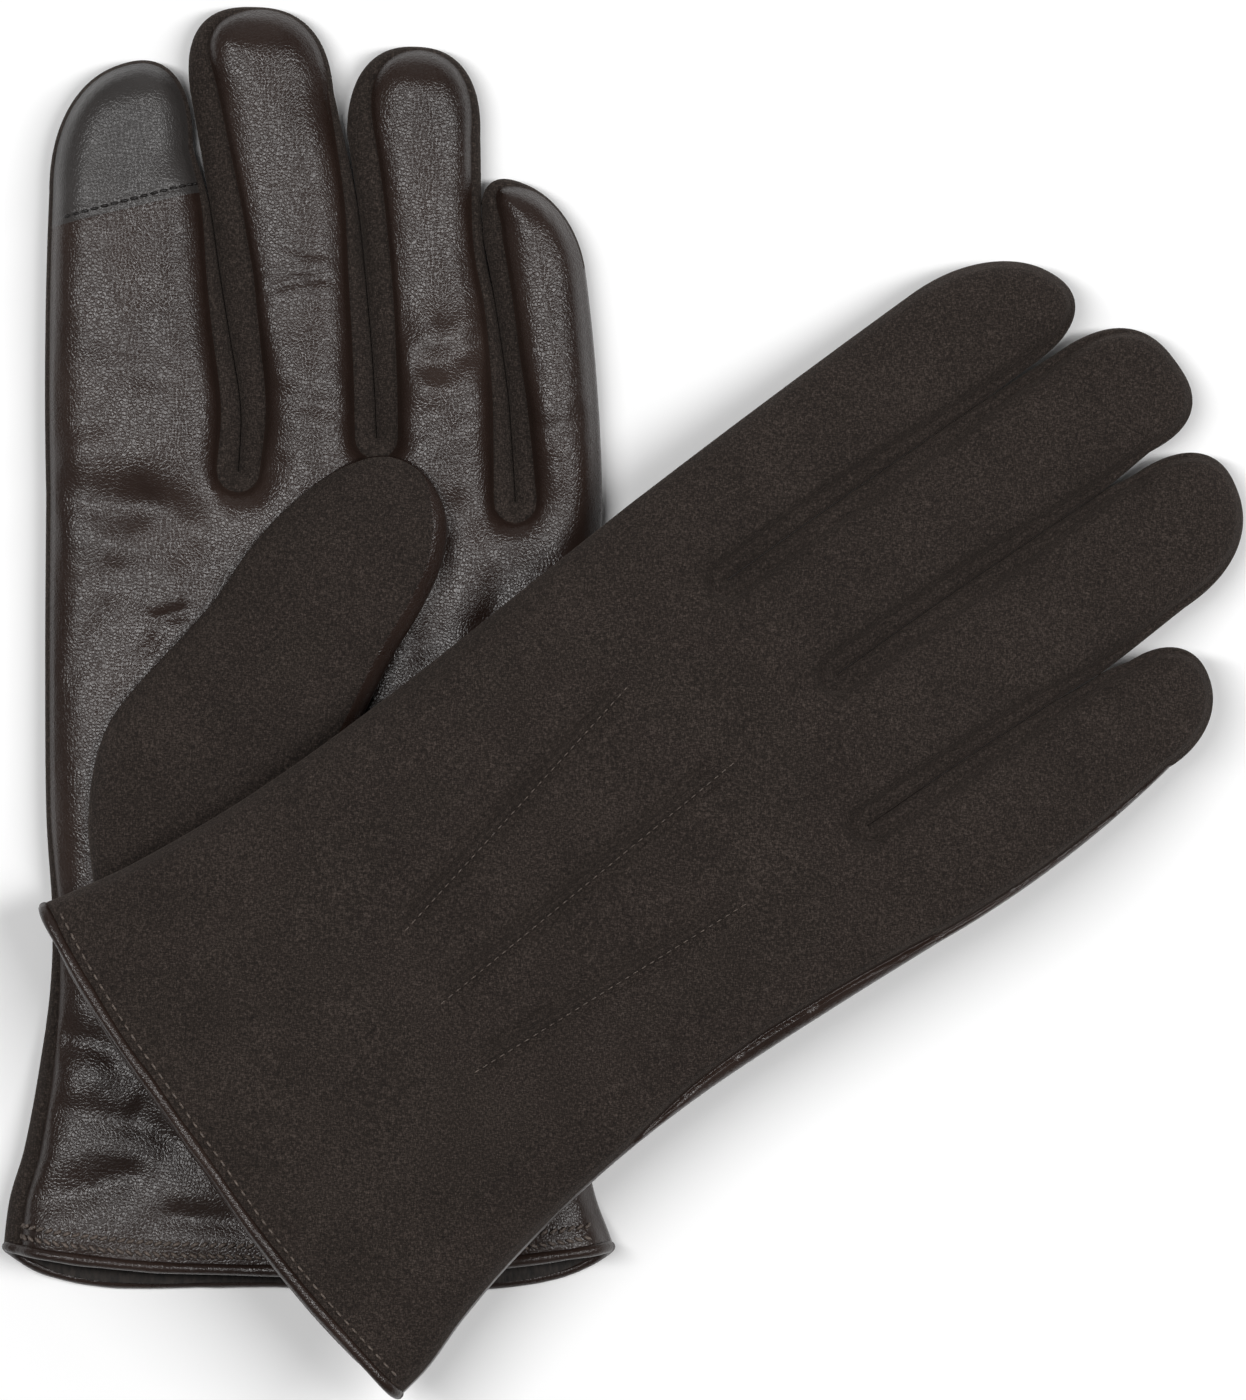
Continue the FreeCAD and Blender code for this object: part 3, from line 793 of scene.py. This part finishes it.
# ---------------------------------------------------------------- binding and stitching
def tube(line, radius, sides=10, closed=False):
    """Points, faces of a round tube along a 3D line, closed in itself or capped."""
    line = np.asarray(line, float)
    count = len(line)
    step = np.roll(line, -1, 0) - np.roll(line, 1, 0) if closed else np.gradient(line, axis=0)
    forward = unit(step)
    side = unit(np.cross(forward, (0, 0, 1)))
    up = np.cross(side, forward)
    angle = np.arange(sides) * 2 * math.pi / sides
    radius = np.broadcast_to(np.asarray(radius, float), (count,))
    ring = side[:, None] * np.cos(angle)[None, :, None] + up[:, None] * np.sin(angle)[None, :, None]
    points = (line[:, None] + ring * radius[:, None, None]).reshape(-1, 3)
    faces = []
    for i in range(count if closed else count - 1):
        a, b = i * sides, (i + 1) % count * sides
        faces += [(a + j, a + (j + 1) % sides, b + (j + 1) % sides, b + j) for j in range(sides)]
    if not closed:
        faces.append(tuple(range(sides))[::-1])
        faces.append(tuple((count - 1) * sides + j for j in range(sides)))
    return points, faces


def bead(a, b, radius):
    """One stitch: a short thread from a to b, thin at its ends where it dives into the cloth."""
    t = np.array((0.0, 0.12, 0.35, 0.65, 0.88, 1.0))[:, None]
    sag = np.array((-1.0, -0.25, 0.25, 0.25, -0.25, -1.0))[:, None] * radius
    line = np.asarray(a) + (np.asarray(b) - a) * t + sag * np.array((0, 0, 1.0))
    return tube(line, radius * np.array((0.45, 0.9, 1.0, 1.0, 0.9, 0.45)), 6)


def merged(parts):
    points, faces, start = [], [], 0
    for some_points, some_faces in parts:
        points.append(some_points)
        faces += [tuple(i + start for i in face) for face in some_faces]
        start += len(some_points)
    return np.vstack(points), faces


def stitches(line, pitch, length, slant, radius, lift):
    """Stitches along a sampled 3D line, each turned by slant from the line and raised by lift."""
    line = np.asarray(line, float)
    along = np.r_[0, np.cumsum(np.linalg.norm(np.diff(line, axis=0), axis=1))]
    parts = []
    for centre in np.arange(pitch / 2, along[-1], pitch):
        at = [np.array([np.interp(centre + s, along, line[:, i]) for i in range(3)]) for s in (-0.1, 0, 0.1)]
        forward = unit(at[2] - at[0])
        across = unit(np.cross(forward, (0, 0, 1)))
        reach = (forward * math.cos(slant) + across * math.sin(slant)) * length / 2
        middle = at[1] + np.array((0, 0, lift))
        parts.append(bead(middle - reach, middle + reach, radius))
    return merged(parts)


class Surface:
    """Heights of one glove's sheets, for laying thread and binding on them."""

    def __init__(self, glove, height, outline):
        self.glove, self.height, self.outline = glove, height, outline

    def line(self, points, palm):
        inset = self.outline.palm_inset if palm else self.outline.back_inset
        z = self.height(np.asarray(points, float), self.outline, seam_line(self.outline, inset), palm)
        return place(self.glove.side)(np.c_[points, z])

    def hem(self, palm, inside_by):
        """A line on a sheet that follows the edge of its cuff from side to side."""
        edge = cuff_line(self.glove, palm, self.outline)[4:-4]
        sides = self.outline.points
        level = self.glove.cuff_corner + inside_by
        left = np.interp(level, sides[:CUFF_SAMPLES, 1], sides[:CUFF_SAMPLES, 0])
        right = np.interp(level, sides[:-CUFF_SAMPLES:-1, 1], sides[:-CUFF_SAMPLES:-1, 0])
        across = (edge[:, 0] - sides[0, 0]) / (sides[-1, 0] - sides[0, 0])
        return self.line(np.stack([left + across * (right - left), edge[:, 1] + inside_by], 1), palm)


def cuff_binding(surface):
    """The rolled leather edge of both sheets, one ring round the mouth."""
    side = surface.glove.side
    palm = surface.line(cuff_line(surface.glove, True, surface.outline), True)
    back = surface.line(cuff_line(surface.glove, False, surface.outline), False)
    ring = np.vstack([palm, back[::-1][1:-1]])
    for _ in range(3):
        ring = (np.roll(ring, 1, 0) + 2 * ring + np.roll(ring, -1, 0)) / 4
    ring[:, 2] = np.maximum(ring[:, 2], BINDING_RADIUS + 0.1)
    wander = 1 + 0.1 * noise(np.stack([np.arange(len(ring)) * CURVE_STEP, np.zeros(len(ring))], 1), 5, 21)
    rolled = tube(ring, BINDING_RADIUS * wander, 14, closed=True)
    points, faces = merged([rolled, facing(surface, True), facing(surface, False)])
    piece = make_piece(f"{side}_cuff_binding", points, faces, None, "leather")
    attach(piece, side, "palm", "cuff_binding")


def facing(surface, palm):
    """The strip of leather turned in round the mouth, on the inside of one sheet: points and faces."""
    wall = LEATHER if palm else WOOL
    upwards = 1 if palm == (surface.glove.side == "left") else -1
    sheets = []
    for depth in (wall + 0.1, wall + 0.6):
        shift = (0, 0, upwards * depth)
        sheets.append(np.array([surface.hem(palm, y) - shift for y in np.linspace(0.2, FACING_DEPTH, 8)]))
    rows, columns = sheets[0].shape[:2]
    points = np.vstack([sheet.reshape(-1, 3) for sheet in sheets])
    corners = [r * columns + c for r in range(rows - 1) for c in range(columns - 1)]
    flat = [(i, i + 1, i + columns + 1, i + columns) for i in corners]
    count = rows * columns
    numbers = np.arange(count).reshape(rows, columns)
    ring = [*numbers[0], *numbers[1:, -1], *numbers[-1, -2::-1], *numbers[-2:0:-1, 0]]
    rim = [(b, a, a + count, b + count) for a, b in zip(ring, ring[1:] + ring[:1])]
    faces = flat + [tuple(i + count for i in face[::-1]) for face in flat] + rim
    return points, faces if upwards < 0 else [face[::-1] for face in faces]


def thread_piece(side, node, parts, owner="palm", thread="brown_thread"):
    points, faces = merged(parts)
    piece = make_piece(f"{side}_{node}", points, faces, None, thread)
    attach(piece, side, owner, node, rigid=True)


def stitching(surface):
    """Hem rows round the cuff, the three lines on the back, and the row beside the touchscreen tip."""
    side = surface.glove.side
    top, under = (0.12, -0.12) if side == "left" else (-0.12, 0.12)
    hem = [stitches(surface.hem(True, 2.5), 1.8, 1.65, 0.5, 0.38, top * 2),
           stitches(surface.hem(True, 4.7), 1.8, 1.65, -0.5, 0.38, top * 2),
           stitches(surface.hem(False, 2.6), 2.3, 1.5, 0.0, 0.26, under)]
    thread_piece(side, "hem_stitching", hem)
    shift = LEFT_POINT_SHIFT if side == "left" else 0
    rows = []
    for start, end in POINTS:
        line = resample(np.add((start, end), (shift + 1.0, 0)), 1.0)
        rows.append(stitches(surface.line(line, False), 1.9, 1.2, 0.0, 0.14, under * 0.3))
    thread_piece(side, "point_stitching", rows)
    row = surface.line(resample(np.add(TOUCH_SEAM, ((3.0, 1.8), (-2.2, 1.4))), 0.5), True)
    row = stitches(row, 2.0, 1.5, 0.1, 0.3, top * 1.5)
    thread_piece(side, "index_touch_stitching", [row], "index", "dark_thread")


# ---------------------------------------------------------------- thumbs
THUMB_OUTLINE = ((-41, 70), (-42.5, 84), (-41.5, 96), (-38.5, 105), (-33, 112.5), (-27, 119), (-18, 129),
                 (-10, 140.5), (0, 150.5), (9, 156), (17, 157.2), (24, 153), (27.6, 145), (26.6, 136),
                 (22.5, 127), (16.5, 117), (10, 104), (3, 90), (-5, 78), (-16, 69), (-29, 65))
THUMB_CUT = 4
THUMB_STEP = 1.2
THUMB_LOWEST = 11.9


def thumb_frame(points):
    """How far points lie along the thumb from its root, and across it to the right."""
    direction = unit(np.subtract(THUMB_TIP, THUMB_ROOT))
    away = points - np.array(THUMB_ROOT)
    return away @ direction, away @ np.array((direction[1], -direction[0]))


def thumb_height(points, ring, upper):
    """Height in the left glove's frame. The root lies low where it is sewn to the palm."""
    depth, _ = nearest(points, ring)
    along, across = thumb_frame(points)
    middle = 13.1 + 2.6 * smoothstep((across + 16) / 20) * smoothstep((along + 10) / 40)
    if not upper:
        return np.maximum(middle - 3.2 * roundness(depth, 6), THUMB_LOWEST)
    relief = 0.3 * noise(points, 22, 31) + 0.1 * noise(points, 9, 32)
    dome = 1.2 * smoothstep(depth / 15)
    return middle + 4.4 * roundness(depth, 8) + smoothstep(depth / 3) * (dome + relief)


def thumb_sheet(ring, inward, seam, upper):
    """One side of the thumb."""
    direction = unit(np.subtract(THUMB_TIP, THUMB_ROOT))
    across = 34 * np.array((direction[1], -direction[0]))
    hinge = np.array(THUMB_ROOT) + direction * THUMB_CUT
    cut = resample([hinge - across, hinge + across], THUMB_STEP)
    seam = np.vstack([seam, seam[:1]])
    fill = [far_from(ring + inward * depth, ring, depth * 0.9) for depth in LAYERS]
    grid = far_from(hex_grid(ring.min(0), ring.max(0), THUMB_STEP), ring, LAYERS[-1] + THUMB_STEP / 2)
    fill = np.vstack(fill + [far_from(grid, seam, THUMB_STEP * 0.5)])
    fill = far_from(fill[inside(fill, ring)], cut, 0.35)
    pattern = Pattern(ring, ring)
    pattern.edges.append((len(ring) - 1, 0))
    pattern.add_line(seam)
    pattern.add_line(cut)
    points, triangles = pattern.triangles(far_from(fill, seam, 0.3))
    return Sheet(points, thumb_height(points, ring, upper), triangles, None, None, None)


def thumb_pieces(side):
    """Root, wool, leather and lining of one thumb, folded over the palm."""
    ring = smooth_curve(THUMB_OUTLINE + THUMB_OUTLINE[:1], 0.9)[:-1]
    inward = inward_of(np.roll(ring, -1, 0) - np.roll(ring, 1, 0))
    along, across = thumb_frame(ring)
    strip = 0.3 + 2.4 * smoothstep((across - 2) / 9) * smoothstep((86 - along) / 12)
    seam = ring + inward * strip[:, None]
    top, low = (thumb_sheet(ring, inward, seam, upper) for upper in (True, False))
    count = len(ring)
    vertices, triangles = joined(top, low, True, count)
    vertices[:count, 2] = (top.z[:count] + low.z[:count]) / 2
    centre = vertices[triangles].mean(1)[:, :2]
    is_top = np.arange(len(triangles)) < len(top.triangles)
    moving = thumb_frame(centre)[0] > THUMB_CUT
    wool = is_top & inside(centre, seam)
    lining_vertices = vertices - vertex_normals(vertices, triangles) * (WOOL + LINING_GAP)
    if side == "right":
        vertices[:, 2] = PALM_TOP - vertices[:, 2]
        lining_vertices[:, 2] = PALM_TOP - lining_vertices[:, 2]
        triangles = triangles[:, ::-1]

    outer, lining = place(side)(vertices), place(side)(lining_vertices)
    add_wall(side, "thumb_root_wool", "palm", outer, triangles, ~moving, "wool")
    add_wall(side, "thumb_wool", "thumb", outer, triangles, moving & wool, "wool")
    add_wall(side, "thumb_leather", "thumb", outer, triangles, moving & ~wool, "leather")
    add_wall(side, "thumb_lining", "thumb", lining, triangles, moving, "lining")


# ---------------------------------------------------------------- materials
class Nodes:
    """A material's node tree with short ways to add the nodes used here."""

    def __init__(self, name):
        self.material = bpy.data.materials.new(name)
        self.material.use_nodes = True
        self.tree = self.material.node_tree
        self.shader = self.tree.nodes["Principled BSDF"]
        self.place = self.tree.nodes.new("ShaderNodeTexCoord").outputs["Object"]

    def link(self, output, socket):
        self.tree.links.new(output, socket)

    def add(self, kind, vector=None, **inputs):
        """A new node with some of its inputs set. An underscore stands for a space in an input's name."""
        node = self.tree.nodes.new("ShaderNode" + kind)
        for name, value in inputs.items():
            node.inputs[name.replace("_", " ")].default_value = value
        if vector:
            self.link(vector, node.inputs["Vector"])
        return node

    def scaled(self, scale, turn=0.0):
        """Coordinates stretched so that one unit of a texture is 1 / scale metres."""
        return self.add("Mapping", self.place, Scale=scale, Rotation=(0, 0, turn)).outputs["Vector"]

    def noise(self, scale, detail=3.0, rough=0.55, vector=None):
        node = self.add("TexNoise", vector or self.place, Scale=scale, Detail=detail, Roughness=rough)
        return node.outputs["Fac"]

    def cells(self, scale):
        """Distance to the edge between the cells of a Voronoi pattern."""
        node = self.tree.nodes.new("ShaderNodeTexVoronoi")
        node.feature = "DISTANCE_TO_EDGE"
        node.inputs["Scale"].default_value = scale
        self.link(self.place, node.inputs["Vector"])
        return node.outputs["Distance"]

    def ramp(self, value, stops):
        node = self.add("ValToRGB")
        node.color_ramp.elements[0].position = stops[0][0]
        node.color_ramp.elements[-1].position = stops[-1][0]
        for position, _ in stops[1:-1]:
            node.color_ramp.elements.new(position)
        for element, (_, colour) in zip(node.color_ramp.elements, stops):
            element.color = (*colour, 1)
        self.link(value, node.inputs["Fac"])
        return node.outputs["Color"]

    def range(self, value, low, high):
        """A noise's usual values, from 0.3 to 0.7, carried to a range from low to high."""
        node = self.add("MapRange", From_Min=0.3, From_Max=0.7, To_Min=low, To_Max=high)
        self.link(value, node.inputs["Value"])
        return node.outputs["Result"]

    def math(self, operation, a, b):
        node = self.add("Math")
        node.operation = operation
        for socket, value in zip(node.inputs, (a, b)):
            if isinstance(value, (int, float)):
                socket.default_value = value
            else:
                self.link(value, socket)
        return node.outputs["Value"]

    def bump(self, height, strength, distance, under=None):
        node = self.add("Bump", Strength=strength, Distance=distance)
        self.link(height, node.inputs["Height"])
        if under:
            self.link(under, node.inputs["Normal"])
        return node.outputs["Normal"]

    def finish(self, colour, roughness, normal, **constants):
        self.link(colour, self.shader.inputs["Base Color"])
        self.link(roughness, self.shader.inputs["Roughness"])
        self.link(normal, self.shader.inputs["Normal"])
        for name, value in constants.items():
            self.shader.inputs[name.replace("_", " ")].default_value = value
        return self.material


def leather_material(name, dark, middle, light, roughness):
    """Smooth nappa: fine pebbled grain, faint cross creases, slow changes of tone, gloss worn unevenly."""
    n = Nodes(name)
    tone = n.noise(38, 4)
    colour = n.ramp(tone, ((0.3, dark), (0.5, middle), (0.72, light)))
    grain = n.cells(1500)
    pebble = n.ramp(grain, ((0.0, (0, 0, 0)), (0.22, (1, 1, 1))))
    crossing = n.noise(1, 2, 0.5, n.scaled((620, 1500, 1000), 0.3))
    slanting = n.noise(1, 2, 0.5, n.scaled((1500, 700, 1000), 0.5))
    creases = n.math("ADD", crossing, n.math("MULTIPLY", slanting, 0.6))
    under = n.bump(pebble, 0.22, 0.0002)
    under = n.bump(creases, 0.24, 0.0002, under)
    normal = n.bump(n.noise(110, 2), 0.07, 0.002, under)
    worn = n.math("MULTIPLY", n.noise(70, 3), 0.6)
    grainy = n.math("MULTIPLY", n.noise(900, 2), 0.4)
    gloss = n.range(n.math("ADD", worn, grainy), *roughness)
    return n.finish(colour, gloss, normal, Specular_IOR_Level=0.38)


def wool_material():
    """Milled wool flannel: short mixed fibres lying two ways, with a soft bloom of raised nap."""
    n = Nodes("brown_wool")
    fibres = n.noise(1, 5, 0.7, n.scaled((1400, 3900, 2000), 0.35))
    crossing = n.noise(1, 5, 0.7, n.scaled((3900, 1400, 2000), 0.2))
    mixed = n.math("ADD", n.math("MULTIPLY", fibres, 0.5), n.math("MULTIPLY", crossing, 0.5))
    patches = n.noise(60, 3)
    tone = n.math("ADD", n.math("MULTIPLY", mixed, 0.94), n.math("MULTIPLY", patches, 0.06))
    shades = ((0.37, (0.005, 0.0036, 0.003)), (0.5, (0.0195, 0.0142, 0.0115)), (0.62, (0.069, 0.053, 0.045)))
    colour = n.ramp(tone, shades)
    under = n.bump(mixed, 0.55, 0.0005)
    normal = n.bump(n.noise(420, 4, 0.65), 0.5, 0.0006, under)
    rough = n.range(mixed, 0.85, 1.0)
    return n.finish(colour, rough, normal, Specular_IOR_Level=0.2, Sheen_Weight=0.08, Sheen_Roughness=0.45,
                    Sheen_Tint=(0.62, 0.5, 0.43, 1))


def thread_material(name, dark, light):
    """Waxed thread, with the strands' twist across it."""
    n = Nodes(name)
    twist = n.noise(1, 2, 0.5, n.scaled((2600, 2600, 900), 0.8))
    colour = n.ramp(twist, ((0.35, dark), (0.65, light)))
    return n.finish(colour, n.range(twist, 0.38, 0.55), n.bump(twist, 0.5, 0.0003), Specular_IOR_Level=0.35)


def lining_material():
    """Fine knitted lining: ribs along the hand, with soft loops across them."""
    n = Nodes("knit_lining")
    loops = n.noise(1, 3, 0.5, n.scaled((1100, 450, 700), 0.0))
    colour = n.ramp(loops, ((0.35, (0.010, 0.008, 0.007)), (0.65, (0.032, 0.026, 0.023))))
    normal = n.bump(loops, 0.7, 0.0007)
    return n.finish(colour, n.range(loops, 0.85, 1.0), normal, Sheen_Weight=0.15, Sheen_Roughness=0.5)


def make_materials():
    MATERIALS["leather"] = leather_material(
        "brown_leather", (0.0145, 0.0078, 0.0056), (0.021, 0.012, 0.0091), (0.028, 0.0172, 0.0134),
        roughness=(0.25, 0.33))
    MATERIALS["touch"] = leather_material(
        "grey_touch_leather", (0.027, 0.0245, 0.0235), (0.034, 0.0305, 0.029), (0.042, 0.038, 0.0365),
        roughness=(0.29, 0.38))
    MATERIALS["wool"] = wool_material()
    for name, dark, light in (("brown_thread", (0.05, 0.038, 0.031), (0.14, 0.11, 0.092)),
                              ("dark_thread", (0.005, 0.0042, 0.004), (0.014, 0.0115, 0.0105))):
        MATERIALS[name] = thread_material(name, dark, light)
    MATERIALS["lining"] = lining_material()


# ---------------------------------------------------------------- stage, lights and camera
FLOOR_SIZE = 6.0


def make_floor(low):
    mesh = bpy.data.meshes.new("floor")
    half = FLOOR_SIZE / 2
    corners = [(-half, -half, low), (half, -half, low), (half, half, low), (-half, half, low)]
    mesh.from_pydata(corners, [], [(0, 1, 2, 3)])
    n = Nodes("floor_paper")
    colour = n.ramp(n.noise(3, 2), ((0.3, (0.93, 0.93, 0.93)), (0.7, (0.97, 0.97, 0.97))))
    normal = n.bump(n.noise(900, 2), 0.02, 0.0002)
    n.finish(colour, n.range(n.noise(40, 2), 0.9, 1.0), normal, Specular_IOR_Level=0.1)
    mesh.materials.append(n.material)
    floor = bpy.data.objects.new("floor", mesh)
    bpy.context.scene.collection.objects.link(floor)


def area_light(name, place_at, target, size, power):
    data = bpy.data.lights.new(name, "AREA")
    data.shape = "RECTANGLE"
    data.size, data.size_y = size
    data.energy = power
    light = bpy.data.objects.new(name, data)
    light.location = place_at
    light.rotation_euler = (Vector(target) - Vector(place_at)).to_track_quat("-Z", "Y").to_euler()
    bpy.context.scene.collection.objects.link(light)


def make_lights():
    area_light("left_softbox", (-0.62, 0.15, 1.55), (0, 0, 0), (0.2, 1.0), 15)
    area_light("right_softbox", (0.8, 0.1, 1.35), (0, 0, 0), (0.26, 1.1), 15)
    area_light("far_softbox", (0.0, 1.5, 0.7), (0, 0, 0), (1.6, 0.6), 1.6)
    world = bpy.data.worlds.new("studio")
    world.use_nodes = True
    world.node_tree.nodes["Background"].inputs["Color"].default_value = (1, 1, 1, 1)
    world.node_tree.nodes["Background"].inputs["Strength"].default_value = 0.13
    bpy.context.scene.world = world


def make_camera():
    """Straight above the pair, as far away as makes the picture PICTURE_HEIGHT tall at mid height."""
    data = bpy.data.cameras.new("camera")
    data.lens = 250
    data.sensor_fit = "VERTICAL"
    data.sensor_height = 36
    camera = bpy.data.objects.new("camera", data)
    x, y, _ = place("left")(np.array([PICTURE_MIDDLE + (0,)], float))[0] * MM
    distance = PICTURE_HEIGHT * MM * data.lens / data.sensor_height
    camera.location = (x, y, CAD_BOX[1][2] / 2 + distance)
    bpy.context.scene.collection.objects.link(camera)
    bpy.context.scene.camera = camera


# ---------------------------------------------------------------- the pair
make_materials()
for glove, height in ((LEFT, left_height), (RIGHT, right_height)):
    outline = glove_pieces(glove, height)
    lining_pieces(glove, height, outline)
    surface = Surface(glove, height, outline)
    cuff_binding(surface)
    stitching(surface)
    thumb_pieces(glove.side)
make_floor(CAD_BOX[0][2])
make_lights()
make_camera()
bpy.context.scene.view_settings.view_transform = "Standard"
